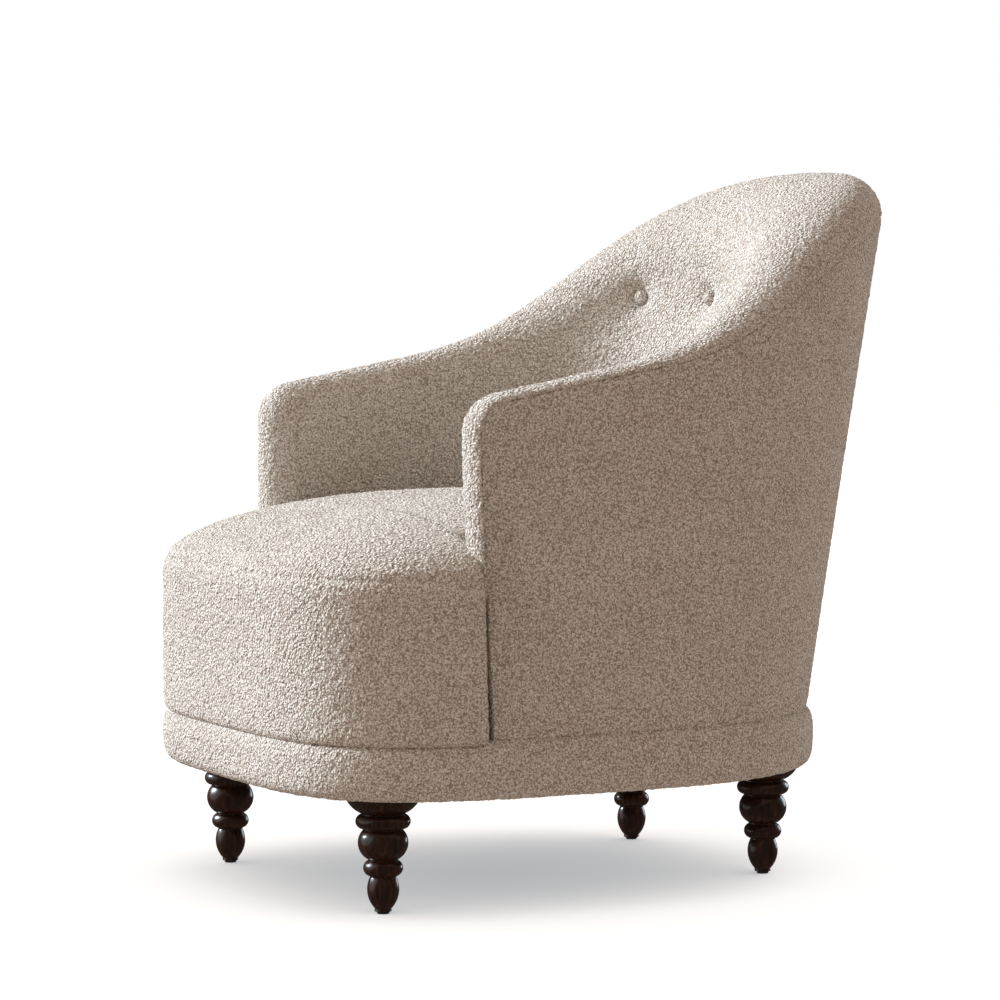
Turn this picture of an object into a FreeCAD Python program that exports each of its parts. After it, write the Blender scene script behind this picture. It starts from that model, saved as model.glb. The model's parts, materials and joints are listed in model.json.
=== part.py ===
"""Upholstered barrel armchair, millimetres. +Z is up, -Y is the front, +X is the sitter's left.
The finished parts have their origin on the floor, under the middle of the chair's overall size.

Plan outlines are superellipses about the point (0, PLAN_Y0). The arms and back are lofted through upright
section planes, called stations: across the arm at the front, and radial about (0, PLAN_Y0) round the back.
"""
import FreeCAD, Part
import math
import os

Vec = FreeCAD.Vector

# ---- driving dimensions -------------------------------------------------------------------------
PLAN_Y0 = 6.0            # centre of the plan outline
CENTRE_Y = 60.0          # middle of the chair's overall depth; every part is moved back by this at the end
HALF_WIDTH = 320.0       # base outline at the band's lower edge
FRONT_DEPTH = 368.0      # from PLAN_Y0 to the front
BACK_DEPTH = 355.0       # from PLAN_Y0 to the back
FRONT_POWER = 3.9        # squarish rounded front
BACK_POWER = 2.4         # round back

BASE_BOTTOM = 140.0      # underside of the timber base
BAND_BOTTOM = 134.0
BAND_TOP = 207.0
BAND_BULGE = 8.0
SEAM_Z = 385.0           # seam between the seat's border and its top
SEAT_CROWN = 465.0
SPRING_Z = 318.0         # top of the springs
DECK_TOP = 322.0

ARM_FRONT_Y = -184.0
ARM_THICKNESS = 58.0
ARM_CREST = 619.0        # crest height where the arm meets the back
BACK_CREST = 852.0
ARM_SLOPE = 0.195        # fall of the crest towards the front of the arm
CORNER_RADIUS = 50.0     # front top corner of the arm, seen from the side
SIDE_LEAN = -0.039       # change of half width per mm of height
BACK_LEAN = 0.212        # the same for the back's depth

FABRIC = 2.0
PANEL = 9.0              # board and wadding behind the outside cover
GAP = 0.3                # clearance between neighbouring loose pieces
RAIL = 24.0              # thickness of the arm and back timbers

LEG_FRONT = (217.0, -262.5)
LEG_BACK = (161.0, 274.0)
LEG_TOP = 138.6
GLIDE = 3.0

BUTTON_RADIUS = 11.0
BUTTON_Z = 695.0
BUTTON_PITCH = 125.0

PLAN_POINTS = 48
BACK_STATIONS = 17       # stations from one side of the back to the other


# ---- outlines in plan ---------------------------------------------------------------------------
def radius(angle, half_width, front, back, front_power=FRONT_POWER, back_power=BACK_POWER):
    """Distance from (0, PLAN_Y0) to a superellipse, at a polar angle in radians."""
    c, s = abs(math.cos(angle)), abs(math.sin(angle))
    depth, power = (front, front_power) if math.sin(angle) < 0 else (back, back_power)
    return ((c / half_width) ** power + (s / depth) ** power) ** (-1.0 / power)


def outline(z, offset, half_width=HALF_WIDTH, front=FRONT_DEPTH, back=BACK_DEPTH):
    """Closed outline of the base, grown by offset, as a wire at height z."""
    points = []
    for i in range(PLAN_POINTS):
        a = 2 * math.pi * i / PLAN_POINTS
        r = radius(a, half_width + offset, front + offset, back + offset)
        points.append(Vec(r * math.cos(a), PLAN_Y0 + r * math.sin(a), z))
    curve = Part.BSplineCurve()
    curve.interpolate(points, PeriodicFlag=True)
    return Part.Wire([curve.toShape()])


def slab(z0, z1, offset):
    """Straight-sided solid of the base outline."""
    return Part.Face(outline(z0, offset)).extrude(Vec(0, 0, z1 - z0))


def barrel(levels):
    """Solid lofted through the outline at each (z, offset)."""
    return Part.makeLoft([outline(z, off) for z, off in levels], True, False)


def box(x0, x1, y0, y1, z0, z1):
    return Part.makeBox(x1 - x0, y1 - y0, z1 - z0, Vec(x0, y0, z0))


# ---- stations round the arms and back -----------------------------------------------------------
def stations():
    """Stations from the left arm's front round the back to the right arm's front."""
    arm = [ARM_FRONT_Y + (PLAN_Y0 - ARM_FRONT_Y) * i / 3.0 for i in range(3)]
    row = [("arm", 1, y) for y in arm]
    row += [("back", 1, math.pi * i / (BACK_STATIONS - 1)) for i in range(BACK_STATIONS)]
    row += [("arm", -1, y) for y in reversed(arm)]
    return row


def swing(st):
    """How far a station is round the back, from 0 on the arms to 1 at the middle of the back."""
    return 0.0 if st[0] == "arm" else math.sin(st[2])


def crest(st):
    """Height of the fabric's crest at a station: the arm's slope, then the sweep up to the back."""
    if st[0] == "arm":
        return ARM_CREST + ARM_SLOPE * (st[2] - PLAN_Y0)
    s = swing(st)
    run = 300.0 * ARM_SLOPE
    return ARM_CREST + run * s + (BACK_CREST - ARM_CREST - run) * (1 - (1 - s ** 3.1) ** 1.4)


def place(st, rho, z):
    """Point at distance rho out from the station's centre, at height z."""
    if st[0] == "arm":
        return Vec(st[1] * rho, st[2], z)
    return Vec(rho * math.cos(st[2]), PLAN_Y0 + rho * math.sin(st[2]), z)


def reach(st, half_width, back):
    """Distance from a station's centre to an outline with that half width and back depth."""
    if st[0] == "arm":
        share = (abs(st[2] - PLAN_Y0) / FRONT_DEPTH) ** FRONT_POWER
        return half_width * (1.0 - share) ** (1.0 / FRONT_POWER)
    return radius(st[2], half_width, FRONT_DEPTH, back)


def outer(st, z):
    """Outside face of the arms and back."""
    up = z - BAND_TOP
    return reach(st, HALF_WIDTH + 2.0 + SIDE_LEAN * up, BACK_DEPTH + 4.0 + BACK_LEAN * up)


def inner(st, z):
    """Inside face of the arms and back, without the roll at the top."""
    up = z - BAND_TOP
    half_width = HALF_WIDTH + 2.0 + SIDE_LEAN * up - ARM_THICKNESS
    depth = 216.0 + 0.24 * (z - SEAT_CROWN)
    return reach(st, half_width, depth)


def roll(st):
    """Widths and heights of the top roll: (inner height, outer width, outer height)."""
    k = swing(st) ** 1.5
    return 33 + 87 * k, 22 + 23 * k, 9 + 36 * k


def seam_z(st):
    """Height of the seam between the inside and outside covers."""
    return crest(st) - roll(st)[2]


def inside_profile(st, z_low, inset):
    """(rho, z) points of the inside face from z_low, over the roll, to the outside seam, inset inwards."""
    hi, wo, ho = roll(st)
    top = crest(st)
    z_roll = top - hi
    rho_crest = outer(st, top - ho) - wo
    wi = rho_crest - inner(st, z_roll)
    points = []
    for i in range(5):
        z = z_low + (z_roll - z_low) * i / 5.0
        points.append((inner(st, z) + inset, z))
    for i in range(6):
        a = math.pi / 2 * i / 5
        points.append((rho_crest - (wi - inset) * math.cos(a), z_roll + (hi - inset) * math.sin(a)))
    for i in range(1, 4):
        a = math.pi / 2 * i / 3.0
        points.append((rho_crest + (wo - inset) * math.sin(a), top - ho + (ho - inset) * math.cos(a)))
    return points


def outside_points(st, depth, z_low):
    """(rho, z) points of the outside face from z_low to the seam, at a depth below the surface."""
    top = seam_z(st) - 1.0
    zs = [z_low + (top - z_low) * i / 4.0 for i in range(5)]
    return [(outer(st, z) - depth, z) for z in zs]


def spline(points):
    curve = Part.BSplineCurve()
    curve.interpolate(points)
    return [curve.toShape()]


def polyline(points):
    return [Part.makeLine(p, q) for p, q in zip(points, points[1:])]


def ring(row, section, far_side=spline):
    """Solid lofted round the stations; section(st) gives the (rho, z) points of its two sides."""
    wires = []
    for st in row:
        near, far = [[place(st, r, z) for r, z in side] for side in section(st)]
        far.reverse()
        wires.append(Part.Wire(spline(near) + polyline([near[-1], far[0]]) + far_side(far)
                               + polyline([far[-1], near[0]])))
    return Part.makeLoft(wires, True, False)


def bar(row, rho_of, z_of, deep, tall):
    """Bent timber of a deep x tall section that follows the stations; rho_of gives its outer face."""
    wires = []
    for st in row:
        z, rho = z_of(st), rho_of(st)
        corners = [(rho, z), (rho, z + tall), (rho - deep, z + tall), (rho - deep, z), (rho, z)]
        wires.append(Part.makePolygon([place(st, r, h) for r, h in corners]))
    return Part.makeLoft(wires, True, False)


def trim(name, *others):
    """Cut other parts out of a part and drop any sliver that leaves."""
    shape = parts[name]
    for other in others:
        shape = shape.cut(parts[other])
    parts[name] = Part.makeCompound([solid for solid in shape.Solids if solid.Volume > 300.0])


parts = {}


# ---- legs and their hardware --------------------------------------------------------------------
def leg_profile():
    """Half section of the turned leg, as arcs between its necks: (z, r) of each neck and its bulge."""
    necks = [(6.0, 9.5), (43.0, 15.0), (62.0, 17.0), (97.0, 22.5), (114.5, 25.0)]
    bulges = [(27.0, 18.2), (53.0, 22.6), (82.5, 28.6), (107.0, 31.2)]
    edges = [Part.makeLine(Vec(0, 0, GLIDE), Vec(9.9, 0, GLIDE)), Part.makeLine(Vec(9.9, 0, GLIDE), Vec(9.5, 0, 6))]
    for i, (z, r) in enumerate(bulges):
        (za, ra), (zb, rb) = necks[i], necks[i + 1]
        edges.append(Part.Arc(Vec(ra, 0, za), Vec(r, 0, z), Vec(rb, 0, zb - 1.2)).toShape())
        edges.append(Part.makeLine(Vec(rb, 0, zb - 1.2), Vec(rb, 0, zb)))
    edges.append(Part.Arc(Vec(25.0, 0, 114.5), Vec(37.5, 0, 123.5), Vec(43.5, 0, 134.0)).toShape())
    edges.append(Part.makeLine(Vec(43.5, 0, 134.0), Vec(43.5, 0, LEG_TOP)))
    edges.append(Part.makeLine(Vec(43.5, 0, LEG_TOP), Vec(0, 0, LEG_TOP)))
    edges.append(Part.makeLine(Vec(0, 0, LEG_TOP), Vec(0, 0, GLIDE)))
    return Part.Face(Part.Wire(edges))


BOLT_R = 4.0
PLATE_R = 20.5           # round plate that the leg's bolt screws into
LEG_BOLT_DEPTH = 40.0
LEG_PLACES = {
    "front_left": (LEG_FRONT[0], LEG_FRONT[1]),
    "front_right": (-LEG_FRONT[0], LEG_FRONT[1]),
    "back_left": (LEG_BACK[0], LEG_BACK[1]),
    "back_right": (-LEG_BACK[0], LEG_BACK[1]),
}


def upright(r, z0, z1, xy):
    return Part.makeCylinder(r, z1 - z0, Vec(xy[0], xy[1], z0))


def make_legs():
    turned = leg_profile().revolve(Vec(0, 0, 0), Vec(0, 0, 1), 360)
    hole = Part.makeCylinder(BOLT_R, LEG_BOLT_DEPTH, Vec(0, 0, LEG_TOP - LEG_BOLT_DEPTH))
    nail = Part.makeCylinder(1.5, 14.0, Vec(0, 0, GLIDE))
    turned = turned.cut(hole).cut(nail)
    bolts, plates, screws, glides = [], [], [], []
    for name, (x, y) in LEG_PLACES.items():
        leg = turned.copy()
        leg.translate(Vec(x, y, 0))
        parts["leg_" + name] = leg
        bolts.append(upright(BOLT_R, LEG_TOP - LEG_BOLT_DEPTH, LEG_PLATE_TOP + 14, (x, y)))
        plate = upright(PLATE_R, BASE_BOTTOM + BLOCK_TALL, LEG_PLATE_TOP, (x, y))
        plate = plate.cut(upright(BOLT_R, 0, 400, (x, y)))
        for spot in screw_spots(x, y):
            plate = plate.cut(upright(2.0, 0, 400, spot))
            shank = upright(2.0, LEG_PLATE_TOP - 20, LEG_PLATE_TOP, spot)
            screws.append(shank.fuse(upright(3.6, LEG_PLATE_TOP, LEG_PLATE_TOP + 2, spot)).removeSplitter())
        plates.append(plate)
        head = Part.makeCone(6.5, 8.0, GLIDE, Vec(x, y, 0))
        glides.append(head.fuse(upright(1.5, GLIDE, GLIDE + 14.0, (x, y))).removeSplitter())
    parts["leg_bolts"] = Part.makeCompound(bolts)
    parts["leg_plates"] = Part.makeCompound(plates)
    parts["leg_plate_screws"] = Part.makeCompound(screws)
    parts["foot_glides"] = Part.makeCompound(glides)


def screw_spots(x, y):
    turns = [math.pi / 2 + 2 * math.pi * i / 3 for i in range(3)]
    return [(x + 14.0 * math.cos(t), y + 14.0 * math.sin(t)) for t in turns]


# ---- timber base --------------------------------------------------------------------------------
RAIL_OUT = -16.0         # outer face of the base rails, inside the band's foam
RAIL_IN = RAIL_OUT - RAIL
BLOCK_TALL = 30.0
LEG_PLATE_TOP = BASE_BOTTOM + BLOCK_TALL + 3.0


def make_base():
    hoop = slab(BASE_BOTTOM, BAND_TOP, RAIL_OUT).cut(slab(BASE_BOTTOM, BAND_TOP, RAIL_IN))
    joint_front, joint_back = -170.0, 150.0
    parts["base_rail_front"] = hoop.common(box(-400, 400, -400, joint_front, 100, 300))
    parts["base_rail_back"] = hoop.common(box(-400, 400, joint_back, 400, 100, 300))
    parts["base_rail_left"] = hoop.common(box(0, 400, joint_front, joint_back, 100, 300))
    parts["base_rail_right"] = hoop.common(box(-400, 0, joint_front, joint_back, 100, 300))
    inside = slab(BASE_BOTTOM, BASE_BOTTOM + BLOCK_TALL, RAIL_IN)
    blocks = []
    for x, y in LEG_PLACES.values():
        sx = 1 if x > 0 else -1
        if y < 0:
            blank = box(min(sx * 160, sx * 400), max(sx * 160, sx * 400), -400, y + 60, 100, 300)
        else:
            blank = box(min(sx * 95, sx * 400), max(sx * 95, sx * 400), y - 60, 400, 100, 300)
        blocks.append(inside.common(blank).cut(upright(BOLT_R, 0, 400, (x, y))))
    spots = [spot for x, y in LEG_PLACES.values() for spot in screw_spots(x, y)]
    for spot in spots:
        blocks = [block.cut(upright(2.0, LEG_PLATE_TOP - 20, 400, spot)) for block in blocks]
    parts["leg_blocks"] = Part.makeCompound(blocks)
    parts["base_stretcher"] = slab(BASE_BOTTOM, BASE_BOTTOM + 45, RAIL_IN).common(
        box(-30, 30, -400, 400, 100, 300))
    cloth = slab(BASE_BOTTOM - 1.2, BASE_BOTTOM - 0.2, RAIL_OUT)
    for spot in LEG_PLACES.values():
        cloth = cloth.cut(upright(BOLT_R + 3, 0, 400, spot))
    parts["dust_cover"] = cloth


# ---- rolled band round the base -----------------------------------------------------------------
def make_band():
    top = BAND_TOP
    outside = [(BAND_BOTTOM, 0.0), (BAND_BOTTOM + 14, 6.0), (BAND_BOTTOM + 34, BAND_BULGE),
               (top - 14, 6.0), (top, -1.0)]
    inside = [(z, off - FABRIC) for z, off in outside]
    skin, core = barrel(outside), barrel(inside)
    hollow = slab(BAND_BOTTOM - 5, top + 5, RAIL_OUT)
    parts["base_band_cover"] = skin.cut(core)
    parts["base_band_foam"] = core.cut(hollow)


# ---- seat ---------------------------------------------------------------------------------------
def seat_zone(inset):
    """T-shaped region that the seat fills: full width before the arms, then the well between them."""
    wires = []
    for z in (300, 400, 500, 600):
        points = [place(st, inner(st, z) - inset, z) for st in stations()]
        wires.append(Part.Wire(spline(points) + polyline([points[-1], points[0]])))
    well = Part.makeLoft(wires, True, False)
    front = box(-400, 400, -400, ARM_FRONT_Y - inset, 300, 600)
    bridge = box(-200, 200, ARM_FRONT_Y - 20, ARM_FRONT_Y + 40, 300, 600)
    return front.fuse(bridge).fuse(well)


def crown_levels(drop):
    """(z, offset) levels of the domed seat top, from its seam to near its crown."""
    levels = []
    for t in (0.0, 0.03, 0.08, 0.16, 0.3, 0.5, 0.75, 0.95):
        rise = (SEAT_CROWN - SEAM_Z) * (1 - (1 - t) ** 3) ** 0.62
        levels.append((SEAM_Z + rise - drop, BAND_BULGE - 2 - HALF_WIDTH * t - drop))
    return levels


def make_seat():
    border = [(BAND_TOP + GAP, 0.0), (BAND_TOP + 22, 6.0), (SEAM_Z - 60, 8.0), (SEAM_Z, 6.0)]
    border_in = [(z, off - FABRIC) for z, off in border]
    before_arms = box(-400, 400, -400, ARM_FRONT_Y - GAP, 100, 600)
    skin, core = barrel(border), barrel(border_in)
    apron_out, apron_in = -14.0, -24.0
    foam = core.cut(slab(BAND_TOP - 5, 600, apron_out)).common(before_arms)
    parts["seat_border_cover"] = skin.cut(core).common(before_arms)
    parts["seat_border_foam"] = foam.common(box(-400, 400, -400, 400, 100, SEAM_Z - FABRIC - GAP))
    apron = slab(BAND_TOP + GAP, DECK_TOP - 24, apron_out).cut(slab(BAND_TOP, 600, apron_in))
    parts["front_apron"] = apron.common(box(-400, 400, -400, ARM_FRONT_Y - 2, 100, 600))

    dome = barrel(crown_levels(0.0))
    dome_in = barrel(crown_levels(FABRIC))
    parts["seat_top_cover"] = dome.cut(dome_in).common(seat_zone(GAP)).cut(slab(0, SEAM_Z, 50))
    zone = seat_zone(FABRIC + GAP)
    upper = dome_in.common(zone)
    lower = slab(DECK_TOP, SEAM_Z - FABRIC + 1, apron_out).common(zone)
    parts["seat_foam"] = upper.fuse(lower).removeSplitter()


SPRING_XS = [-190.0, -95.0, 0.0, 95.0, 190.0]
SPRING_WIRE = 1.9        # radius
SPRING_FRONT, SPRING_BACK = -300.0, 168.0
SPRING_SWING = 22.0      # half width of the zigzag
SPRING_BENDS = 18
SEAT_RAIL_TALL = 40.0


def spring(x):
    """Sinuous spring: straight crossings joined by U bends, left and right in turn."""
    z = SPRING_Z - SPRING_WIRE
    pitch = (SPRING_BACK - SPRING_FRONT) / SPRING_BENDS
    bend = pitch / 2
    edges = []
    for i in range(SPRING_BENDS):
        side = 1 if i % 2 else -1
        y = SPRING_FRONT + pitch * i
        turn = x + side * (SPRING_SWING - bend)
        start = x if i == 0 else x - side * (SPRING_SWING - bend)
        edges.append(Part.makeLine(Vec(start, y, z), Vec(turn, y, z)))
        arc = Part.Arc(Vec(turn, y, z), Vec(turn + side * bend, y + bend, z), Vec(turn, y + pitch, z))
        edges.append(arc.toShape())
    edges.append(Part.makeLine(Vec(turn, SPRING_BACK, z), Vec(x, SPRING_BACK, z)))
    section = Part.Wire([Part.makeCircle(SPRING_WIRE, Vec(x, SPRING_FRONT, z), Vec(1, 0, 0))])
    return Part.Wire(edges).makePipeShell([section], True, True)


def make_suspension():
    parts["seat_springs"] = Part.makeCompound([spring(x) for x in SPRING_XS])
    z0 = SPRING_Z - 2 * SPRING_WIRE - 1.0
    clips = []
    for x in SPRING_XS:
        for y, sign in ((SPRING_FRONT, -1), (SPRING_BACK, 1)):
            clip = box(x - 9, x + 9, min(y, y + sign * 14) - 6, max(y, y + sign * 14) + 6, z0 - 1.5, SPRING_Z + 1.5)
            hole = box(x - 30, x + 30, y - 7 if sign > 0 else y - 12, y + 12 if sign > 0 else y + 7,
                       z0, SPRING_Z + 0.3)
            clips.append(clip.cut(hole))
    parts["spring_clips"] = Part.makeCompound(clips)
    low, high = z0 - 1.5 - SEAT_RAIL_TALL, z0 - 1.5
    hoop = slab(low, high, -24.0).cut(slab(low, high, -48.0))
    wide = 400
    parts["seat_rail_front"] = slab(low, high, -24.0).common(box(-wide, wide, -wide, SPRING_FRONT + 14, 100, 500))
    sides = hoop.common(box(-wide, wide, SPRING_FRONT + 14, SPRING_BACK + 22, 100, 500))
    parts["seat_rail_left"] = sides.common(box(0, wide, -wide, wide, 100, 500))
    parts["seat_rail_right"] = sides.common(box(-wide, 0, -wide, wide, 100, 500))
    cross = slab(low, high, -48.0).common(box(-wide, wide, SPRING_BACK - 12, SPRING_BACK + 22, 100, 500))
    parts["seat_rail_back"] = cross
    ties = []
    for y in (-180.0, -66.0, 48.0):
        ties.append(Part.makeCylinder(1.6, 420, Vec(-210, y, z0 - 1.9), Vec(1, 0, 0)))
    parts["spring_tie_wires"] = Part.makeCompound(ties)
    deck = slab(DECK_TOP - 1.6, DECK_TOP - GAP, -30.0).common(seat_zone(6.0))
    parts["spring_deck_cloth"] = deck


# ---- arms and back: timbers ---------------------------------------------------------------------
SKIN = FABRIC + PANEL    # outside cover and panel together
FRONT_PAD = 10.0         # pad on the front of each arm post
Y_PAD = ARM_FRONT_Y + FABRIC + GAP + FRONT_PAD
RAIL_TALL = 34.0


def rail_top(st):
    """Top of the timber rail, far enough under the crest for the padding over it."""
    return crest(st) - max(26.0, roll(st)[2] + 8.0)


def rail_low(st):
    return rail_top(st) - RAIL_TALL


def rail_face(st):
    """Outer face of the rail, inside the outside panel at every height of the rail."""
    return min(outer(st, rail_low(st)), outer(st, rail_top(st))) - SKIN - 3.0


def make_frame():
    row = stations()
    joint = 6
    last = len(row) - 1
    behind_pad = box(-400, 400, Y_PAD + GAP, 600, 100, 1000)
    parts["arm_rail_left"] = bar(row[:joint + 1], rail_face, rail_low, RAIL, RAIL_TALL).common(behind_pad)
    parts["arm_rail_right"] = bar(row[last - joint:], rail_face, rail_low, RAIL, RAIL_TALL).common(behind_pad)
    parts["back_top_rail"] = bar(row[joint:last - joint + 1], rail_face, rail_low, RAIL, RAIL_TALL)
    for side, name in ((1, "left"), (-1, "right")):
        parts["arm_post_" + name] = arm_post(side)
        parts["back_post_" + name] = back_post(side * 52, 24.0)
    parts["back_slats"] = Part.makeCompound([back_post(turn, 20.0) for turn in (-16, 16)])


def arm_post(side):
    """Upright at the front of an arm, from the base rail to the arm rail."""
    y0, y1 = ARM_FRONT_Y + 13, ARM_FRONT_Y + 57
    st = ("arm", side, y0)
    wires = []
    for z in (BAND_TOP, rail_low(st)):
        x = outer(st, z) - SKIN - 4
        corners = [(x, y0), (x, y1), (x - RAIL, y1), (x - RAIL, y0), (x, y0)]
        wires.append(Part.makePolygon([Vec(side * px, py, z) for px, py in corners]))
    return Part.makeLoft(wires, True, True)


def back_post(turn, half):
    """Raked post from the base's back rail to the top rail, turn degrees from the middle of the back."""
    st = ("back", 1, math.pi / 2 - math.radians(turn))
    out = Vec(math.cos(st[2]), math.sin(st[2]), 0)
    across = Vec(-math.sin(st[2]), math.cos(st[2]), 0)
    wires = []
    for z, rho in ((BAND_TOP, outer(st, BAND_TOP) - SKIN - 8), (rail_low(st), rail_face(st) - 1.0)):
        centre = Vec(0, PLAN_Y0, z)
        corners = [(rho, -half), (rho, half), (rho - RAIL, half), (rho - RAIL, -half), (rho, -half)]
        wires.append(Part.makePolygon([centre + out * r + across * h for r, h in corners]))
    return Part.makeLoft(wires, True, True)


# ---- arms and back: padding and covers ----------------------------------------------------------
INSIDE_LOW = 340.0       # lower edge of the inside padding, tucked beside the seat


def foam_back(st, z):
    """Hidden face of the inside foam: thin on the arms, thick on the back."""
    return inner(st, z) + FABRIC + 16.0 + 52.0 * min(1.0, swing(st) * 1.3)


def foam_section(st):
    """Inside foam: the visible side, and the hidden side that goes over the rail to the panel's edge."""
    inset = FABRIC + 0.6
    limit = rail_face(st) - RAIL - GAP
    z_rail, z_seam = rail_top(st) + GAP, seam_z(st)
    panel = outer(st, z_seam) - SKIN - GAP
    hidden = []
    for i in range(6):
        z = INSIDE_LOW + (z_rail - 4.0 - INSIDE_LOW) * i / 5.0
        hidden.append((min(foam_back(st, z), limit), z))
    hidden += [(limit, z_rail), (panel, z_rail), (panel, z_seam - 0.5), (outer(st, z_seam) - inset - 1, z_seam - 0.5)]
    return inside_profile(st, INSIDE_LOW, inset), hidden


def outside_skin(near_depth, far_depth):
    """Section function of a layer of the outside, between two depths below its surface."""
    low = BAND_TOP + GAP
    return lambda st: (outside_points(st, near_depth, low), outside_points(st, far_depth, low))


def arm_trim(inset):
    """Region behind the arms' front face, whose front top corner is rounded, grown smaller by inset."""
    r, y0 = CORNER_RADIUS - inset, ARM_FRONT_Y + inset
    z1 = ARM_CREST + ARM_SLOPE * (ARM_FRONT_Y + CORNER_RADIUS - PLAN_Y0) + 1 - inset
    mid = r * (1 - math.sqrt(0.5))
    arc = Part.Arc(Vec(0, y0, z1 - r), Vec(0, y0 + mid, z1 - mid), Vec(0, y0 + r, z1)).toShape()
    corners = [Vec(0, y0 + r, z1), Vec(0, y0 + r + 60, z1 + 400), Vec(0, 700, 1100), Vec(0, 700, 0),
               Vec(0, y0, 0), Vec(0, y0, z1 - r)]
    face = Part.Face(Part.Wire([arc] + polyline(corners)))
    face.translate(Vec(-500, 0, 0))
    return face.extrude(Vec(1000, 0, 0))


def wrap(inset, out_depth, z_low):
    """Solid of the arms and back from the inside face to the outside face."""
    def section(st):
        return inside_profile(st, z_low, inset), outside_points(st, out_depth, z_low)
    return ring(stations(), section).common(arm_trim(inset))


def make_shell():
    parts["inside_cover"] = wrap(0.0, 0.0, INSIDE_LOW).cut(wrap(FABRIC, -6.0, INSIDE_LOW - 10))
    inside = arm_trim(FABRIC + GAP)
    parts["outside_cover"] = ring(stations(), outside_skin(0.0, FABRIC)).common(inside)
    parts["outside_panel"] = ring(stations(), outside_skin(FABRIC + 0.2, SKIN)).common(inside)

    pad = wrap(FABRIC + GAP, SKIN + GAP, BAND_TOP + GAP).common(box(-400, 400, -400, Y_PAD, 100, 1000))
    foam = ring(stations(), foam_section, polyline).common(inside)
    foam = foam.common(box(-400, 400, Y_PAD + GAP, 600, 100, 1000))
    y_joint = PLAN_Y0 + 95.0
    for side, name in ((1, "left"), (-1, "right")):
        half = box(min(0, side * 400), max(0, side * 400), -400, 600, 100, 1000)
        parts["arm_front_pad_" + name] = pad.common(half)
        parts["arm_foam_" + name] = foam.common(half).common(box(-400, 400, -400, y_joint, 100, 1000))
    parts["back_foam"] = foam.common(box(-400, 400, y_joint + 0.2, 600, 100, 1000))


# ---- back webbing and buttons -------------------------------------------------------------------
def make_webbing():
    z_low = 360.0
    bands = []
    for d in (-44, -30, 0, 30, 44):
        st = ("back", 1, math.pi / 2 - math.radians(d))
        top = rail_low(st) - 6
        across = Vec(-math.sin(st[2]), math.cos(st[2]), 0) * 20
        a, b = [], []
        for i in range(5):
            z = z_low + (top - z_low) * i / 4.0
            rho = min(foam_back(st, z) + 3.0, rail_face(st) - RAIL - 4.0)
            a.append(place(st, rho, z))
            b.append(place(st, rho + 2.0, z))
        wires = []
        for sign in (-1, 1):
            pts = [p + across * sign for p in a] + [p + across * sign for p in reversed(b)]
            wires.append(Part.makePolygon(pts + [pts[0]]))
        bands.append(Part.makeLoft(wires, True, True))
    parts["back_webbing"] = Part.makeCompound(bands)


def button_places():
    """(x, y, outward direction) of each button on the inside back, in its dimple."""
    found = []
    for x in (-BUTTON_PITCH, 0.0, BUTTON_PITCH):
        angle = math.pi / 2
        for _ in range(30):
            rho = inner(("back", 1, angle), BUTTON_Z) + FABRIC
            angle = math.acos(max(-1.0, min(1.0, x / rho)))
        found.append((x, PLAN_Y0 + rho * math.sin(angle), angle))
    return found


def make_buttons():
    buttons, twines, toggles = [], [], []
    dimple = 12.0
    for x, y, angle in button_places():
        way = Vec(math.cos(angle) * 0.55, math.sin(angle), 0).normalize()
        seat = Vec(x, y, BUTTON_Z) + way * dimple
        dome = Part.makeSphere(19.0, Vec(0, 0, 0)).common(Part.makeCylinder(BUTTON_RADIUS, 40, Vec(0, 0, 13.2)))
        dome.translate(Vec(0, 0, -13.2))
        dome.rotate(Vec(0, 0, 0), Vec(0, 1, 0), 90)
        dome.rotate(Vec(0, 0, 0), Vec(0, 0, 1), math.degrees(math.atan2(-way.y, -way.x)))
        dome.translate(seat)
        buttons.append(dome)
        twines.append(Part.makeCylinder(1.0, 62.0, seat, way))
        toggles.append(Part.makeCylinder(8.0, 4.0, seat + way * 62.0, way))
        parts["back_foam"] = parts["back_foam"].cut(Part.makeCylinder(1.3, 90.0, seat, way))
        pit = Part.makeCone(BUTTON_RADIUS + 18, BUTTON_RADIUS + 0.6, dimple + 12, seat - way * (dimple + 12), way)
        parts["back_foam"] = parts["back_foam"].cut(pit)
        parts["inside_cover"] = parts["inside_cover"].cut(pit)
        parts["back_webbing"] = parts["back_webbing"].cut(Part.makeCylinder(1.3, 120.0, seat, way))
    parts["back_buttons"] = Part.makeCompound(buttons)
    parts["button_twines"] = Part.makeCompound(twines)
    parts["button_toggles"] = Part.makeCompound(toggles)


def make_joints():
    """Notch neighbouring pieces round each other."""
    legs = ["leg_" + name for name in LEG_PLACES]
    trim("base_band_foam", *legs)
    trim("seat_foam", "seat_border_foam")
    for name in ("left", "right"):
        trim("arm_post_" + name, "arm_rail_" + name, "outside_panel")
        trim("arm_foam_" + name, "arm_post_" + name, "arm_rail_" + name)
        trim("back_post_" + name, "outside_panel", "back_top_rail", "arm_rail_" + name)
        trim("seat_rail_" + name, "arm_post_" + name, "back_post_" + name)
        trim("arm_front_pad_" + name, "seat_rail_" + name)
    trim("back_slats", "outside_panel", "back_top_rail")
    trim("back_webbing", "back_post_left", "back_post_right", "back_slats", "back_top_rail")
    trim("back_foam", "back_webbing", "back_post_left", "back_post_right", "back_slats", "back_top_rail",
         "arm_rail_left", "arm_rail_right", "outside_panel")


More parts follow.
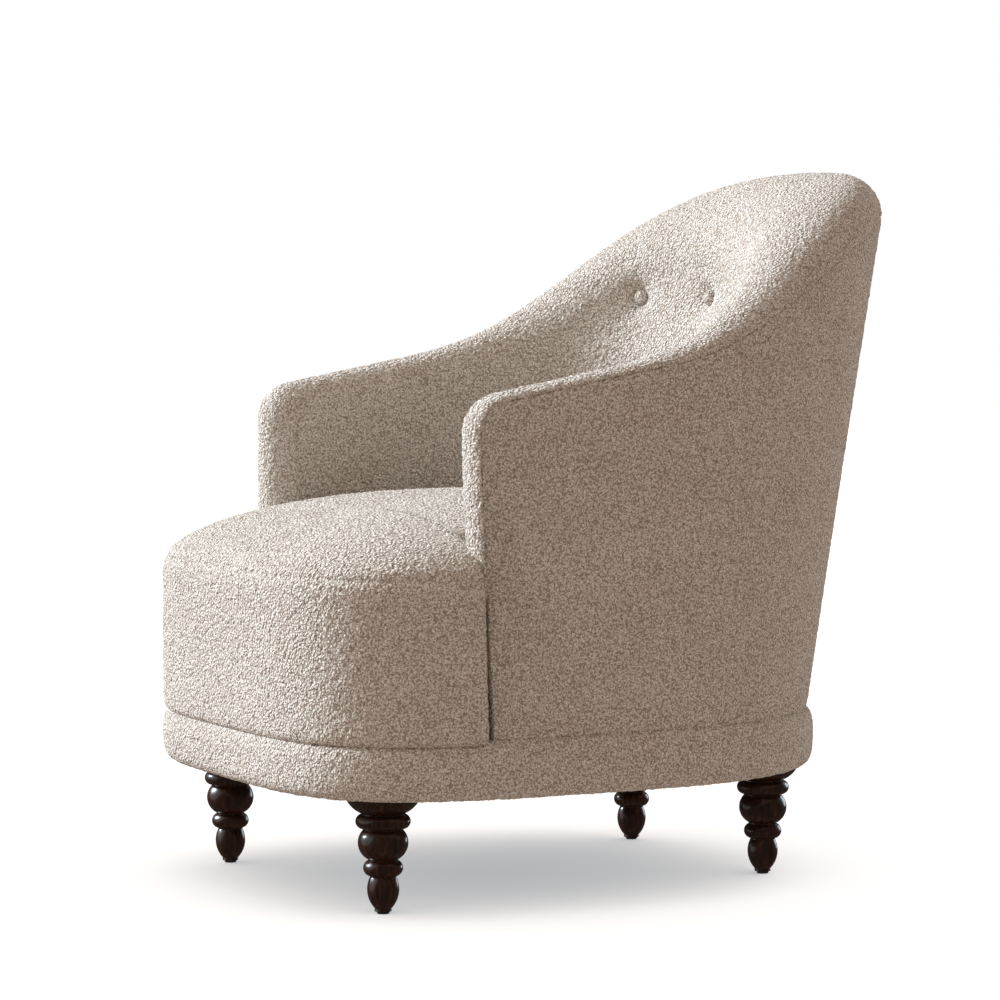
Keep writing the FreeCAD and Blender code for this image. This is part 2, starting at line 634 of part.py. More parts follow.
def main():
    os.makedirs("parts", exist_ok=True)
    for make in (make_base, make_legs, make_band, make_seat, make_suspension, make_frame, make_shell,
                 make_webbing, make_joints, make_buttons):
        make()
    for name, shape in sorted(parts.items()):
        shape.translate(Vec(0, -CENTRE_Y, 0))
        volume = sum(solid.Volume for solid in shape.Solids) / 1000.0
        print("%-22s %3d solids %9.1f cm3 valid %s" % (name, len(shape.Solids), volume, shape.isValid()))
        shape.exportStep("parts/%s.step" % name)


main()
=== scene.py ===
"""Looks of the upholstered barrel armchair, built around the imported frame. Metres, +Z up, -Y is the front.

The upholstery is drawn from a few plan and side curves. Plan outlines are superellipses about (0, PLAN_Y).
The arms and back are described by stations: ("arm", y) is a plane across the arm, and ("back", angle) is
an upright plane radial about (0, PLAN_Y).
"""

import json
import math

import bpy
import numpy as np
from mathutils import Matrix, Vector


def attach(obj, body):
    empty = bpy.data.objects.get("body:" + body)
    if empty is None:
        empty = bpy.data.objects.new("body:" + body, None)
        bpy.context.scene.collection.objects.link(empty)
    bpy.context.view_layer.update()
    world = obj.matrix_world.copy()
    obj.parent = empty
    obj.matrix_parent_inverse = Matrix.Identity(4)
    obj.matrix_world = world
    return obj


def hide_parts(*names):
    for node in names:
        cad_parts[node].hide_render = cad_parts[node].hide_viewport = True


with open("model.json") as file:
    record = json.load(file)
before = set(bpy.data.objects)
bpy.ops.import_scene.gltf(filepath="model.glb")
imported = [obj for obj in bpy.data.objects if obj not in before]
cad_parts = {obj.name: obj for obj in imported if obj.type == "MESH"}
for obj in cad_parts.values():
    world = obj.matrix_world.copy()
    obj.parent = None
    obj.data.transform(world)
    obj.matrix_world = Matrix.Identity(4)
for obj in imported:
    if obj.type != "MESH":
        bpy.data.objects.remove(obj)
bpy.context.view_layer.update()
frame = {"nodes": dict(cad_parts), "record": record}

# ---- driving dimensions -------------------------------------------------------------------------
SHIFT = -0.0600                 # Y of the base's origin, from the middle of the chair's overall depth
PLAN_Y = 0.006 + SHIFT
HALF_WIDTH, FRONT, BACK = 0.320, 0.368, 0.355
FRONT_POWER, BACK_POWER = 3.9, 2.4
BAND_LOW, BAND_TOP = 0.134, 0.207
CREASE_FRONT, CREASE_SIDE = 0.198, 0.203
SEAM_Z, SEAT_RISE = 0.385, 0.080
SEAM_DEPTH = 0.0022
SEAT_EDGE = 0.0035              # how far the seat's top edge stands outside the base outline
SEAT_BULGE = 0.0062             # how far the seat's wall bulges past that edge
ARM_FRONT = -0.184 + SHIFT
ARM_THICK = 0.058
ARM_CREST, BACK_CREST, ARM_SLOPE = 0.619, 0.852, 0.195
CORNER = 0.046
FRONT_LEAN = 0.030              # the arms' fronts lean forward by this much per metre of height
FRONT_FOOT = 0.0020             # how far behind ARM_FRONT the arms' fronts start, at the band
SIDE_LEAN, BACK_LEAN = -0.039, 0.212
INSIDE_FOOT = 0.36
BUTTON_Z, BUTTON_PITCH, BUTTON_R = 0.695, 0.125, 0.0100
BUTTON_SINK = 0.0160            # how far a button's back is behind the undimpled cloth
DIMPLES = [(0.013, 0.017), (0.009, 0.048)]     # (depth, width): the pit, and the broad hollow round it
BUTTON_PROFILE = [(0.0, 0.0075), (0.35, 0.0072), (0.65, 0.0061), (0.88, 0.0038), (1.0, 0.0008),
                  (0.96, -0.002), (0.6, -0.003), (0.0, -0.003)]    # (share of radius, height)
FLOOR_REACH = 14.0              # half the floor's side
DETAIL = 2


# ---- shape functions ----------------------------------------------------------------------------
def smooth(t):
    t = min(1.0, max(0.0, t))
    return t * t * (3 - 2 * t)


def lerp(a, b, t):
    return a + (b - a) * t


def radius(angle, half_width, front, back):
    """Distance from (0, PLAN_Y) to a superellipse at a polar angle."""
    c, s = abs(math.cos(angle)), abs(math.sin(angle))
    depth, power = (front, FRONT_POWER) if math.sin(angle) < 0 else (back, BACK_POWER)
    return ((c / half_width) ** power + (s / depth) ** power) ** (-1.0 / power)


def outline_point(angle, z, offset):
    r = radius(angle, HALF_WIDTH + offset, FRONT + offset, BACK + offset)
    return (r * math.cos(angle), PLAN_Y + r * math.sin(angle), z)


def even_angles(first, last, count):
    """Polar angles that walk the base outline in even steps from first to last."""
    fine = np.linspace(first, last, 2001)
    points = np.array([outline_point(a, 0.0, 0.0)[:2] for a in fine])
    run = np.concatenate([[0.0], np.cumsum(np.hypot(*np.diff(points, axis=0).T))])
    return np.interp(np.linspace(0, run[-1], count), run, fine)


def swing(q):
    """How far a station is round the back: 0 on the arms, 1 at the middle of the back."""
    return 0.0 if q[0] == "arm" else math.sin(q[1])


def crest(q):
    """Height of the rim."""
    if q[0] == "arm":
        return ARM_CREST + ARM_SLOPE * (q[1] - PLAN_Y)
    s = swing(q)
    run = 0.3 * ARM_SLOPE
    return ARM_CREST + run * s + (BACK_CREST - ARM_CREST - run) * (1 - (1 - s ** 3.1) ** 1.4)


def reach(q, half_width, back):
    """Distance from a station's centre to an outline of that half width and back depth."""
    if q[0] == "arm":
        share = (abs(q[1] - PLAN_Y) / FRONT) ** FRONT_POWER
        return half_width * (1.0 - share) ** (1.0 / FRONT_POWER)
    return radius(q[1], half_width, FRONT, back)


def outer(q, z):
    """Outside face of the arms and back."""
    up = z - BAND_TOP
    return reach(q, HALF_WIDTH + 0.002 + SIDE_LEAN * up, BACK + 0.003 + BACK_LEAN * up)


def inner(q, z):
    """Inside face of the arms and back."""
    up = z - BAND_TOP
    return reach(q, HALF_WIDTH + 0.002 + SIDE_LEAN * up - ARM_THICK, 0.216 + 0.24 * (z - 0.465))


def place(q, rho, z):
    if q[0] == "arm":
        return (rho, q[1], z)
    return (rho * math.cos(q[1]), PLAN_Y + rho * math.sin(q[1]), z)


def roll(q):
    """(inner height, outer width, outer height) of the rolled top edge."""
    k = swing(q) ** 1.5
    return 0.033 + 0.087 * k, 0.022 + 0.023 * k, 0.009 + 0.036 * k


# ---- the rim ------------------------------------------------------------------------------------
class Column:
    """One place along the rim. Depth below the rim runs along the side-view direction n, which is 0 where
    the rim faces forward on the arm's front and a right angle where it faces up."""

    def __init__(self, kind, along, z, n, share):
        self.kind, self.along, self.z, self.n = kind, along, z, n
        self.share = share                      # 0 at the foot of the arm's front, 1 at the arm's end
        self.q = (kind, along)

    def at(self, depth):
        """Station and height at a depth below the rim."""
        if self.kind == "arm":
            q = ("arm", self.along + depth * math.cos(self.n))
            return q, self.z - depth * math.sin(self.n)
        return self.q, self.z - depth

    def point(self, rho, depth):
        q, z = self.at(depth)
        return place(q, rho, z)

    def foot(self, z, start):
        """Station at height z that this column's lower end fans out to."""
        if self.kind == "arm":
            return ("arm", lerp(start, PLAN_Y, self.share))
        return self.q


def front_shift(z):
    """How far the arm's front is behind ARM_FRONT at a height. Above 0.5 m it is upright."""
    return FRONT_FOOT - FRONT_LEAN * (min(z, 0.50) - 0.21)


def rim_columns(foot_z):
    """Columns of half the rim: up the arm's front, round its corner, along the arm, round the back."""
    tilt = math.atan(ARM_SLOPE)
    y_end = ARM_FRONT + CORNER
    z_mid = ARM_CREST + ARM_SLOPE * (y_end - PLAN_Y) - CORNER
    spots = []
    rise = int((z_mid - foot_z) / 0.0075)
    for i in range(rise):
        z = lerp(foot_z, z_mid, i / rise)
        spots.append((ARM_FRONT + front_shift(z), z, 0.0))
    for i in range(15):
        a = (math.pi / 2 - tilt) * i / 14.0
        y = y_end - CORNER * math.cos(a) + front_shift(z_mid) * math.cos(a) ** 0.7
        spots.append((y, z_mid + CORNER * math.sin(a), a))
    y0, z0, n0 = spots[-1]
    for i in range(1, 22):
        t = i / 22.0
        spots.append((lerp(y0, PLAN_Y, t), lerp(z0, ARM_CREST, t), lerp(n0, math.pi / 2, smooth(t * 2.2))))
    columns = [Column("arm", y, z, n, i / len(spots)) for i, (y, z, n) in enumerate(spots)]
    for i in range(81):
        angle = math.pi / 2 * i / 80.0
        columns.append(Column("back", angle, crest(("back", angle)), math.pi / 2, 1.0))
    return columns


def mirrored(half):
    """Both sides of the chair, from the columns of its +X side. half is columns of (x, y, z) points."""
    left = np.array(half)
    right = left[:-1][::-1].copy()
    right[:, :, 0] *= -1
    return np.concatenate([left, right])


# ---- mesh helpers -------------------------------------------------------------------------------
def grid_piece(name, grid, wrap=False):
    """Mesh from an array of columns of points; wrap joins the last column to the first."""
    count, rows = grid.shape[:2]
    faces = []
    for i in range(count if wrap else count - 1):
        j = (i + 1) % count
        for k in range(rows - 1):
            faces.append((i * rows + k, j * rows + k, j * rows + k + 1, i * rows + k + 1))
    return mesh_piece(name, grid.reshape(-1, 3), faces)


def mesh_piece(name, verts, faces):
    mesh = bpy.data.meshes.new(name)
    mesh.from_pydata([tuple(v) for v in verts], [], faces)
    mesh.polygons.foreach_set("use_smooth", [True] * len(mesh.polygons))
    mesh.update()
    piece = bpy.data.objects.new(name, mesh)
    bpy.context.scene.collection.objects.link(piece)
    return piece


def subdivide(piece, levels):
    modifier = piece.modifiers.new("smooth", "SUBSURF")
    modifier.levels = levels
    modifier.render_levels = levels


def nubby(piece, strength=0.0011):
    """Raise the loops of the cloth, so that outlines and edges are as uneven as the real fabric's."""
    for name, size, share in (("loops", 0.0042, 1.0), ("clumps", 0.011, 0.5)):
        texture = bpy.data.textures.get(name) or bpy.data.textures.new(name, "CLOUDS")
        texture.noise_scale = size
        texture.noise_depth = 1
        modifier = piece.modifiers.new(name, "DISPLACE")
        modifier.texture = texture
        modifier.texture_coords = "LOCAL"
        modifier.strength = strength * share * 2
        modifier.mid_level = 0.5


# ---- upholstery ---------------------------------------------------------------------------------
def button_spots():
    """(x, y, angle) of the buttons on the inside back."""
    spots = []
    for x in (-BUTTON_PITCH, 0.0, BUTTON_PITCH):
        angle = math.pi / 2
        for _ in range(30):
            rho = inner(("back", angle), BUTTON_Z)
            angle = math.acos(x / rho)
        spots.append((x, PLAN_Y + rho * math.sin(angle), angle))
    return spots


def inside_column(column):
    hi, wo, ho = roll(column.q)
    seam_q, seam_z = column.at(ho)
    rho_crest = outer(seam_q, seam_z) - wo
    low_q, low_z = column.at(hi)
    wi = rho_crest - inner(low_q, low_z)
    points = [column.point(rho_crest + wo - 0.004, ho + 0.002)]
    for i in range(7):
        a = math.pi / 2 * (1 - i / 6.0)
        points.append(column.point(rho_crest + wo * math.sin(a), ho * (1 - math.cos(a))))
    for i in range(1, 15):
        a = math.pi / 2 * (1 - i / 14.0)
        points.append(column.point(rho_crest - wi * math.cos(a), hi * (1 - math.sin(a))))
    foot = column.foot(INSIDE_FOOT, ARM_FRONT + front_shift(INSIDE_FOOT) + 0.033)
    for i in range(1, 43):
        t = i / 42.0
        q = (column.kind, lerp(low_q[1], foot[1], t))
        z = lerp(low_z, INSIDE_FOOT, t)
        points.append(place(q, inner(q, z), z))
    return points


def dimple(points):
    """Pull the inside back in at the buttons."""
    flat = points.reshape(-1, 3)
    for x, y, angle in button_spots():
        gap = flat - np.array([x, y, BUTTON_Z])
        near = np.linalg.norm(gap, axis=1)
        pull = sum(depth * np.exp(-(near / width) ** 2) for depth, width in DIMPLES)
        flat[:, 0] += pull * math.cos(angle) * 0.5
        flat[:, 1] += pull * math.sin(angle)
    return flat.reshape(points.shape)


def build_inside():
    grid = mirrored([inside_column(c) for c in rim_columns(INSIDE_FOOT)])
    piece = grid_piece("inside_upholstery", dimple(grid))
    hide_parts("inside_cover", "back_foam", "arm_foam_left", "arm_foam_right",
                "arm_front_pad_left", "arm_front_pad_right")
    return piece


def outside_column(column):
    ho = roll(column.q)[2]
    seam_q, seam_z = column.at(ho)
    foot = column.foot(CREASE_SIDE, ARM_FRONT + front_shift(CREASE_SIDE) + ho)
    low = CREASE_SIDE - 0.004
    ends = np.array([seam_q[1], seam_z]), np.array([foot[1], low])
    span = abs(ends[1][1] - ends[0][1]) if column.kind == "back" else np.linalg.norm(ends[1] - ends[0])
    points = [place(seam_q, outer(seam_q, seam_z) - 0.010, seam_z)]
    for i in range(47):
        t = i / 46.0
        t = t - 0.06 * math.sin(2 * math.pi * t)
        along, z = lerp(ends[0], ends[1], t)
        q = (column.kind, along)
        edge = 0.0012 * max(0.0, 1 - t * span / 0.005) ** 2 + 0.003 * max(0.0, 1 - (z - low) / 0.008) ** 2
        points.append(place(q, outer(q, z) - edge, z))
    return points


def build_outside():
    grid = mirrored([outside_column(c) for c in rim_columns(CREASE_SIDE)])
    piece = grid_piece("outside_upholstery", grid[:, ::-1])
    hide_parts("outside_cover", "outside_panel")
    return piece


def dome(x, y):
    """Height of the seat's top over a point."""
    dy = y - PLAN_Y
    depth, power = (FRONT, FRONT_POWER) if dy < 0 else (BACK, BACK_POWER)
    ratio = (abs(x) / (HALF_WIDTH + SEAT_EDGE)) ** power + (abs(dy) / (depth + SEAT_EDGE)) ** power
    t = max(0.0, 1 - ratio ** (1.0 / power))
    return SEAM_Z + SEAT_RISE * (1 - (1 - t) ** 2.4) ** 0.66


def seat_boundary():
    """Points round the seat's top: ("front", x, y) on the open outline, ("step", ..) against the arms'
    fronts and ("well", ..) against the inside of the arms and back."""
    y_joint = ARM_FRONT + 0.0030
    angle = -0.3
    for _ in range(40):
        r = radius(angle, HALF_WIDTH + SEAT_EDGE, FRONT + SEAT_EDGE, BACK + SEAT_EDGE)
        angle = math.asin((y_joint - PLAN_Y) / r)
    found = []
    for a in even_angles(angle, -math.pi - angle, 150):
        found.append(("front",) + outline_point(a, 0, SEAT_EDGE)[:2])
    x_out = found[0][1] - 0.004
    x_in = inner(("arm", ARM_FRONT), 0.43) - 0.002
    step = [("step", lerp(x_out, x_in, i / 9.0), y_joint) for i in range(1, 10)]
    well = [("well", inner(("arm", y), 0.43) - 0.002, y) for y in np.linspace(y_joint + 0.006, PLAN_Y, 22)[:-1]]
    for a in np.linspace(0, math.pi / 2, 46):
        x, y, z = place(("back", a), inner(("back", a), 0.43) - 0.002, 0)
        well.append(("well", x, y))
    half = step + well
    other = [(kind, -x, y) for kind, x, y in half[::-1][1:]]
    return found[::-1] + half + other


def tuck(gap, r):
    """Drop of an edge rounded to radius r, at a distance gap from it."""
    inside = max(0.0, r - gap)
    return r - math.sqrt(max(0.0, r * r - inside * inside))


def seat_column(kind, bx, by, joint_gap):
    """Points from the middle of the seat's top out to its boundary at (bx, by), then down its wall."""
    cx, cy = 0.0, ARM_FRONT - 0.03
    front = kind == "front"
    run = math.hypot(bx - cx, by - cy)
    normal = Vector((0, 0, 0))
    near_arm = 1.0 if kind == "step" else 0.0
    if front:
        normal = Vector((math.copysign(abs(bx / HALF_WIDTH) ** (FRONT_POWER - 1) / HALF_WIDTH, bx),
                         -abs((by - PLAN_Y) / FRONT) ** (FRONT_POWER - 1) / FRONT, 0)).normalized()
        near_arm = max(0.0, 1 - joint_gap / 0.05)
    points = []
    for i in range(34):
        v = (i / 33.0) ** 0.8 if front else i / 33.0
        v = 1 - (1 - v) ** 1.35
        x, y = lerp(cx, bx, v), lerp(cy, by, v)
        z = dome(x, y)
        if not front:
            z -= tuck(run * (1 - v), 0.016 if kind == "well" else 0.005)
        y += near_arm * v ** 6 * front_shift(z)
        points.append((x, y, z))
    z_top = points[-1][2]
    z_low = 0.37 if kind == "well" else CREASE_FRONT - 0.004
    for i in range(1, 30):
        z = lerp(z_top, z_low, (i / 29.0) ** 1.45)
        off = wall_offset(z, z_top, z_low, joint_gap) if front else 0.0
        points.append((bx + normal.x * off, by + normal.y * off + near_arm * front_shift(z), z))
    points.append((bx * 0.94, points[-1][1] + (0.02 if front else 0.0), z_low))
    return points


def wall_offset(z, z_top, z_low, joint_gap):
    """How far the seat's wall bulges at a height, less its tucked foot, its edge at the arm and its seam."""
    off = SEAT_BULGE * (1 - max(0.0, 1 - (z_top - z) / 0.022) ** 2)
    off -= 0.005 * max(0.0, 1 - (z - z_low) / 0.011) ** 2
    off -= 0.0025 * max(0.0, 1 - joint_gap / 0.007) ** 2
    return off - SEAM_DEPTH * math.exp(-((z - z_top + 0.003) / 0.0018) ** 2)


def build_seat():
    boundary = seat_boundary()
    ends = [np.array(b[1:]) for b in boundary if b[0] == "front"]
    columns = []
    for kind, x, y in boundary:
        gap = min(math.dist((x, y), ends[0]), math.dist((x, y), ends[-1]))
        columns.append(seat_column(kind, x, y, gap))
    grid = np.array(columns)
    grid[:, 0] = grid[:, 0].mean(axis=0)
    piece = grid_piece("seat_upholstery", grid[:, ::-1], wrap=True)
    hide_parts("seat_top_cover", "seat_border_cover", "seat_foam", "seat_border_foam")
    return piece


def band_column(angle):
    front = smooth((ARM_FRONT - outline_point(angle, 0, 0)[1]) / 0.008 + 0.5)
    top = lerp(CREASE_SIDE, CREASE_FRONT, front)
    profile = [(-0.040, BAND_LOW + 0.001), (-0.022, BAND_LOW), (-0.006, BAND_LOW), (0.0010, BAND_LOW + 0.0020),
               (0.0065, BAND_LOW + 0.008), (0.0090, BAND_LOW + 0.018), (0.0098, BAND_LOW + 0.030),
               (0.0098, top - 0.024), (0.0090, top - 0.014), (0.0070, top - 0.0065), (0.0035, top - 0.0015),
               (-0.002, top + 0.0005), (-0.010, top), (-0.022, top - 0.002)]
    return [outline_point(angle, z, off) for off, z in profile]


def build_band():
    angles = even_angles(-math.pi, math.pi, 281)[:-1]
    piece = grid_piece("base_band", np.array([band_column(a) for a in angles]), wrap=True)
    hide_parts("base_band_cover", "base_band_foam")
    return piece


def build_buttons():
    pieces = []
    for number, (x, y, angle) in enumerate(button_spots(), 1):
        way = Vector((math.cos(angle) * 0.5, math.sin(angle), 0)).normalized()
        side = way.cross(Vector((0, 0, 1)))
        base = Vector((x, y, BUTTON_Z)) + way * BUTTON_SINK
        grid = []
        for i in range(24):
            a = 2 * math.pi * i / 24
            arm = side * math.cos(a) + Vector((0, 0, 1)) * math.sin(a)
            column = []
            for r, h in BUTTON_PROFILE:
                column.append(base + arm * (r * BUTTON_R) - way * h)
            grid.append(column)
        piece = grid_piece("back_button_%d" % number, np.array(grid)[:, ::-1], wrap=True)
        pieces.append(piece)
    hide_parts("back_buttons")
    return pieces


# ---- materials ----------------------------------------------------------------------------------
class Nodes:
    """Short ways to make the nodes of one material."""

    def __init__(self, name):
        self.material = bpy.data.materials.new(name)
        self.material.use_nodes = True
        self.tree = self.material.node_tree
        self.shader = next(n for n in self.tree.nodes if n.type == "BSDF_PRINCIPLED")
        self.coords = self.tree.nodes.new("ShaderNodeTexCoord").outputs["Object"]

    def new(self, kind, inputs=None, **settings):
        node = self.tree.nodes.new(kind)
        for key, value in settings.items():
            setattr(node, key, value)
        for key, value in (inputs or {}).items():
            if isinstance(value, bpy.types.NodeSocket):
                self.tree.links.new(value, node.inputs[key])
            else:
                node.inputs[key].default_value = value
        return node

    def link(self, value, socket):
        self.tree.links.new(value, self.shader.inputs[socket])

    def set(self, **values):
        for key, value in values.items():
            self.shader.inputs[key.replace("_", " ")].default_value = value

    def noise(self, scale, vector=None, detail=2.0, rough=0.5):
        return self.new("ShaderNodeTexNoise", {"Vector": vector or self.coords, "Scale": scale,
                                               "Detail": detail, "Roughness": rough})

    def cells(self, scale, vector):
        """Distance to the nearest of many scattered points."""
        node = self.new("ShaderNodeTexVoronoi", {"Vector": vector, "Scale": scale, "Randomness": 0.9},
                        feature="F1")
        return node.outputs["Distance"]

    def vector_math(self, operation, a, b):
        node = self.new("ShaderNodeVectorMath", {0: a}, operation=operation)
        if operation == "SCALE":
            node.inputs["Scale"].default_value = b
        elif isinstance(b, bpy.types.NodeSocket):
            self.tree.links.new(b, node.inputs[1])
        else:
            node.inputs[1].default_value = b
        return node.outputs[0]

    def math(self, operation, a, b=0.0):
        return self.new("ShaderNodeMath", {0: a, 1: b}, operation=operation).outputs[0]

    def ramp(self, value, stops):
        node = self.new("ShaderNodeValToRGB", {"Fac": value})
        elements = node.color_ramp.elements
        while len(elements) < len(stops):
            elements.new(0.5)
        for element, (position, color) in zip(elements, stops):
            element.position = position
            element.color = color + (1.0,)
        return node.outputs["Color"]


def boucle():
    """Looped ivory cloth: raised irregular nubs about 3.5 mm apart, with painted shade darkening the gaps
    between them.
    """
    m = Nodes("boucle")
    wobble = m.noise(220.0, detail=1.0).outputs["Color"]
    shift = m.vector_math("SCALE", m.vector_math("SUBTRACT", wobble, (0.5, 0.5, 0.5)), 0.0030)
    bent = m.vector_math("ADD", m.coords, shift)
    nubs = m.cells(290.0, bent)
    loops = m.noise(700.0, bent, 1.0, 0.5).outputs["Fac"]
    pit = m.math("ADD", nubs, m.math("MULTIPLY", m.math("SUBTRACT", loops, 0.5), 0.35))
    mixed = m.math("ADD", m.math("MULTIPLY", pit, 0.35), m.math("MULTIPLY", m.cells(470.0, bent), 0.65))
    # Painted shade: this ramp darkens the pits between the nubs, down to a warm brown that stands in for warm
    # light bounced into shade; the finer cells add a speckle of yarn tone.
    pit_shade_and_speckle = m.ramp(mixed, [(0.28, (0.97, 0.94, 0.90)), (0.46, (0.86, 0.81, 0.76)), (0.63, (0.45, 0.385, 0.33))])
    patches = m.noise(14.0, detail=3.0).outputs["Fac"]
    tint = m.ramp(patches, [(0.30, (0.95, 0.93, 0.91)), (0.70, (1.0, 1.0, 1.0))])
    color = m.new("ShaderNodeMix", {0: 1.0, 6: pit_shade_and_speckle, 7: tint}, data_type="RGBA", blend_type="MULTIPLY")
    m.link(color.outputs[2], "Base Color")
    height = m.math("SUBTRACT", 1.0, pit)
    bump = m.new("ShaderNodeBump", {"Height": height, "Strength": 1.0, "Distance": 0.0042})
    m.link(bump.outputs["Normal"], "Normal")
    m.set(Roughness=0.95, Specular_IOR_Level=0.15, Sheen_Weight=0.08, Sheen_Roughness=0.5)
    m.set(Sheen_Tint=(0.95, 0.9, 0.84, 1))
    return m.material


def stained_wood():
    """Dark polished hardwood with the grain running up the leg."""
    m = Nodes("stained_wood")
    stretched = m.new("ShaderNodeMapping", {"Vector": m.coords, "Scale": (1.0, 1.0, 0.12)}).outputs[0]
    grain = m.noise(260.0, stretched, 4.0, 0.6).outputs["Fac"]
    color = m.ramp(grain, [(0.35, (0.014, 0.005, 0.003)), (0.55, (0.036, 0.012, 0.006)),
                           (0.75, (0.075, 0.027, 0.014))])
    m.link(color, "Base Color")
    wear = m.noise(60.0, detail=3.0).outputs["Fac"]
    rough = m.new("ShaderNodeMapRange", {0: wear, 1: 0.3, 2: 0.7, 3: 0.24, 4: 0.38}).outputs[0]
    m.link(rough, "Roughness")
    bump = m.new("ShaderNodeBump", {"Height": grain, "Strength": 0.12, "Distance": 0.0006})
    m.link(bump.outputs["Normal"], "Normal")
    m.set(Specular_IOR_Level=0.4, Coat_Weight=0.6, Coat_Roughness=0.07)
    return m.material


def plain(name, dark, light, scale, rough, metallic=0.0, bump=0.3, stretch=(1, 1, 1)):
    """Simple procedural finish for a hidden part."""
    m = Nodes(name)
    stretched = m.new("ShaderNodeMapping", {"Vector": m.coords, "Scale": stretch}).outputs[0]
    grain = m.noise(scale, stretched, 4.0, 0.6).outputs["Fac"]
    m.link(m.ramp(grain, [(0.3, dark), (0.7, light)]), "Base Color")
    m.link(m.new("ShaderNodeMapRange", {0: grain, 3: rough - 0.08, 4: rough + 0.08}).outputs[0], "Roughness")
    node = m.new("ShaderNodeBump", {"Height": grain, "Strength": bump, "Distance": 0.0006})
    m.link(node.outputs["Normal"], "Normal")
    m.set(Metallic=metallic)
    return m.material


def finish_nodes():
    """Give every CAD node that stays in view its own finish."""
    looks = {
        "stained_wood": stained_wood(),
        "frame_timber": plain("frame_timber", (0.42, 0.29, 0.17), (0.66, 0.50, 0.33), 90.0, 0.7,
                              stretch=(1, 0.1, 1)),
        "steel": plain("steel", (0.42, 0.42, 0.43), (0.58, 0.58, 0.60), 400.0, 0.35, metallic=1.0),
        "webbing": plain("webbing", (0.34, 0.26, 0.16), (0.55, 0.45, 0.31), 700.0, 0.9),
        "lining": plain("lining", (0.012, 0.012, 0.012), (0.04, 0.04, 0.04), 900.0, 0.9),
        "panel_board": plain("panel_board", (0.45, 0.38, 0.28), (0.62, 0.54, 0.42), 300.0, 0.85),
        "plastic": plain("plastic", (0.012, 0.012, 0.012), (0.03, 0.03, 0.03), 500.0, 0.45, bump=0.1),
        "twine": plain("twine", (0.5, 0.46, 0.38), (0.75, 0.71, 0.6), 1200.0, 0.85),
        "foam": plain("foam", (0.75, 0.69, 0.5), (0.88, 0.83, 0.66), 900.0, 0.9),
    }
    cloth = boucle()
    looks["boucle"] = cloth
    slots = {row["node"]: row["material_slot"] for row in frame["record"]["subparts"]}
    for name, node in frame["nodes"].items():
        for slot in node.material_slots:
            slot.material = looks[slots[name]]
        if not node.material_slots:
            node.data.materials.append(looks[slots[name]])
        node.data.polygons.foreach_set("use_smooth", [True] * len(node.data.polygons))
    return cloth


# ---- stage --------------------------------------------------------------------------------------
def build_stage():
    """Flat pale floor, and a white backdrop round it."""
    grid = [[(x, y, 0.0) for y in (-FLOOR_REACH, FLOOR_REACH)] for x in (-FLOOR_REACH, FLOOR_REACH)]
    floor = grid_piece("floor", np.array(grid)[:, ::-1])
    floor.visible_diffuse = False
    floor.visible_glossy = False
    m = Nodes("floor")
    m.set(Base_Color=(0.80, 0.80, 0.80, 1), Roughness=0.9, Specular_IOR_Level=0.0)
    m.set(Emission_Color=(0.91, 0.96, 1, 1), Emission_Strength=0.43)
    floor.data.materials.append(m.material)
    build_world()
    return floor


def build_world():
    """Warm fill on the chair, faint in reflections, with plain white where the camera sees past it."""
    world = bpy.data.worlds.new("studio")
    bpy.context.scene.world = world
    world.use_nodes = True
    tree = world.node_tree
    tree.nodes.remove(tree.nodes["Background"])

    def background(color, strength):
        node = tree.nodes.new("ShaderNodeBackground")
        node.inputs["Color"].default_value = color
        node.inputs["Strength"].default_value = strength
        return node.outputs[0]

    rays = tree.nodes.new("ShaderNodeLightPath")
    shader = background((1.0, 0.815, 0.69, 1), 0.50)
    for ray, seen in (("Is Glossy Ray", background((1.0, 0.92, 0.85, 1), 0.06)),
                      ("Is Camera Ray", background((1, 1, 1, 1), 1.0))):
        mix = tree.nodes.new("ShaderNodeMixShader")
        tree.links.new(rays.outputs[ray], mix.inputs[0])
        tree.links.new(shader, mix.inputs[1])
        tree.links.new(seen, mix.inputs[2])
        shader = mix.outputs[0]
    tree.links.new(shader, tree.nodes["World Output"].inputs["Surface"])


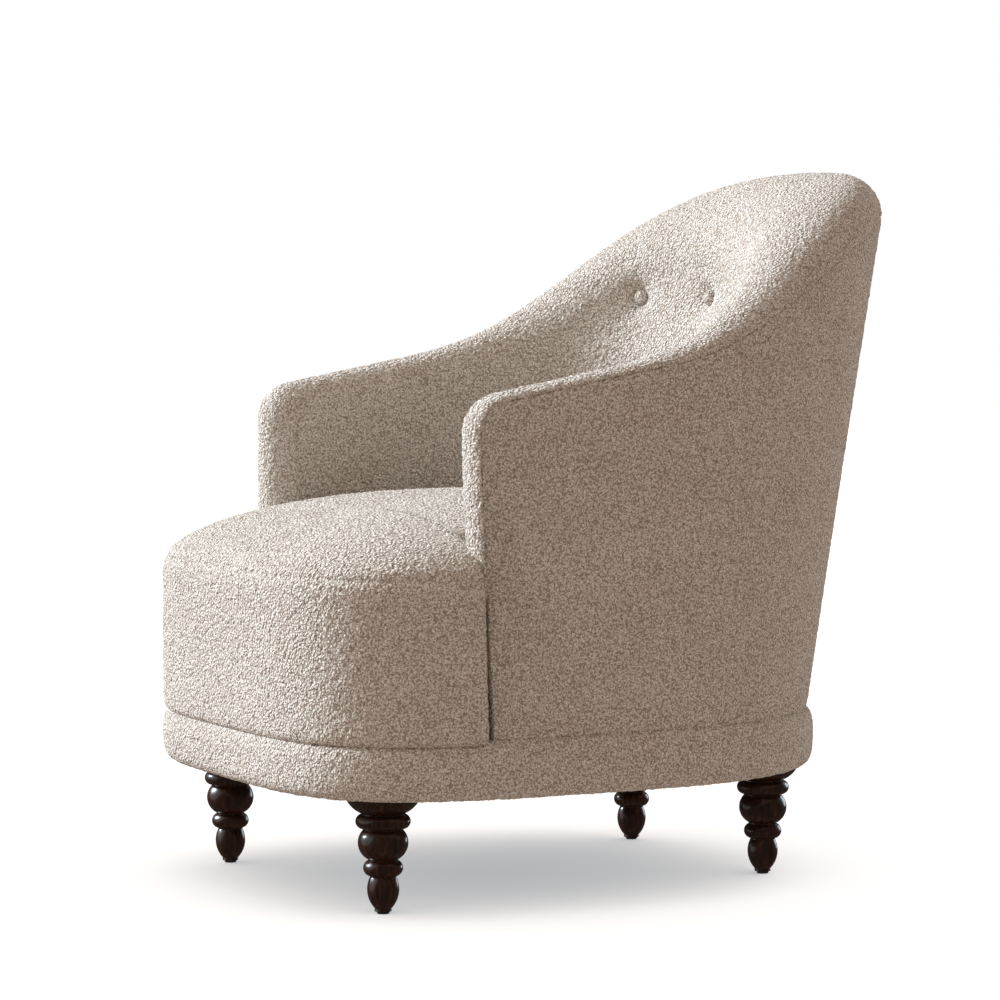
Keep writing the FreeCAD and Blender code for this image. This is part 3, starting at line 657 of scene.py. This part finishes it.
def add_sun(name, comes_from, strength, softness, color, receivers):
    """A far, soft studio lamp that lights only the objects given. Softness is its width in degrees."""
    data = bpy.data.lights.new(name, "SUN")
    data.energy = strength
    data.angle = math.radians(softness)
    data.color = color
    lamp = bpy.data.objects.new(name, data)
    lamp.rotation_euler = (-Vector(comes_from)).to_track_quat("-Z", "Y").to_euler()
    bpy.context.scene.collection.objects.link(lamp)
    group = bpy.data.collections.new(name + "_lights")
    for item in receivers:
        group.objects.link(item)
    lamp.light_linking.receiver_collection = group


def build_lights(chair, floor):
    """A cool key from the front on the sitter's right, two soft fills, and a glow on the floor."""
    add_sun("key", (-0.65, -0.60, 0.50), 5.0, 22.0, (0.84, 0.94, 1.0), chair)
    add_sun("front", (-0.45, -0.85, 0.45), 0.60, 70.0, (0.95, 0.98, 1.0), chair)
    add_sun("rim", (-0.35, 1.0, 0.20), 0.6, 30.0, (0.80, 0.93, 1.0), chair)
    add_sun("floor_glow", (0.0, 0.0, 1.0), 1.9, 140.0, (1.0, 1.0, 1.0), [floor])


def build_camera():
    """Long lens in front on the sitter's left, turned slightly down."""
    data = bpy.data.cameras.new("camera")
    data.lens, data.sensor_width = 134.86, 36.0
    camera = bpy.data.objects.new("camera", data)
    camera.location = (4.010, -2.088 + SHIFT, 0.70)
    turn, drop = math.radians(62.5), math.radians(3.148)
    way = Vector((-math.sin(turn) * math.cos(drop), math.cos(turn) * math.cos(drop), -math.sin(drop)))
    camera.rotation_euler = way.to_track_quat("-Z", "Y").to_euler()
    bpy.context.scene.collection.objects.link(camera)
    bpy.context.scene.camera = camera


def main():
    build_camera()
    floor = build_stage()
    cloth = finish_nodes()
    pads = [build_inside(), build_outside(), build_seat(), build_band()]
    for piece in pads:
        subdivide(piece, DETAIL)
        nubby(piece)
    buttons = build_buttons()
    for piece in buttons:
        subdivide(piece, 2)
        nubby(piece, 0.0005)
    for piece in pads + buttons:
        piece.data.materials.append(cloth)
        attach(piece, "root")
    build_lights(pads + buttons + list(frame["nodes"].values()), floor)
    bpy.context.scene.view_settings.view_transform = "Standard"


main()
